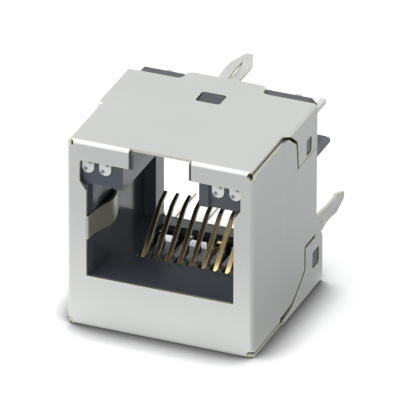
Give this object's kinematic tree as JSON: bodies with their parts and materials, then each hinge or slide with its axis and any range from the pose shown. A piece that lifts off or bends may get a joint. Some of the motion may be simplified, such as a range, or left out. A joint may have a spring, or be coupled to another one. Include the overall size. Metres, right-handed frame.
{
  "type": "rj45 board jack",
  "caption": "Shielded modular network jack for a circuit board: square mouth with latch notch, spring contacts, indicator lamps, split board locks and locating pegs.",
  "frame": {"origin": "centre of the bounding box in plan, on the underside of the bottom wall", "axes": "+Y from the mating face towards the circuit board, +Z towards the plug's latch side, +X to the right seen from the mating side"},
  "size_m": [0.0166, 0.0188, 0.0165],
  "materials": {
    "shield_metal": "plated sheet metal, satin, fine rolling grain, bare cut edges slightly yellow",
    "body_plastic": "moulded dark slate plastic, semi-gloss",
    "carrier_plastic": "moulded dark plastic, satin",
    "contact_gold": "gold plated spring strip, polished",
    "lamp_lens": "clear moulded resin, glossy",
    "lead_tin": "tinned wire, satin"
  },
  "bodies": {
    "root": {"shield": "shield_metal", "housing": "body_plastic", "contact_carrier": "carrier_plastic", "contact_1": "contact_gold", "contact_2": "contact_gold", "contact_3": "contact_gold", "contact_4": "contact_gold", "contact_5": "contact_gold", "contact_6": "contact_gold", "contact_7": "contact_gold", "contact_8": "contact_gold", "lamp_1": "lamp_lens", "lamp_2": "lamp_lens", "lamp_3": "lamp_lens", "lamp_4": "lamp_lens", "lead_1a": "lead_tin", "lead_1b": "lead_tin", "lead_2a": "lead_tin", "lead_2b": "lead_tin", "lead_3a": "lead_tin", "lead_3b": "lead_tin", "lead_4a": "lead_tin", "lead_4b": "lead_tin"}
  },
  "joints": []
}
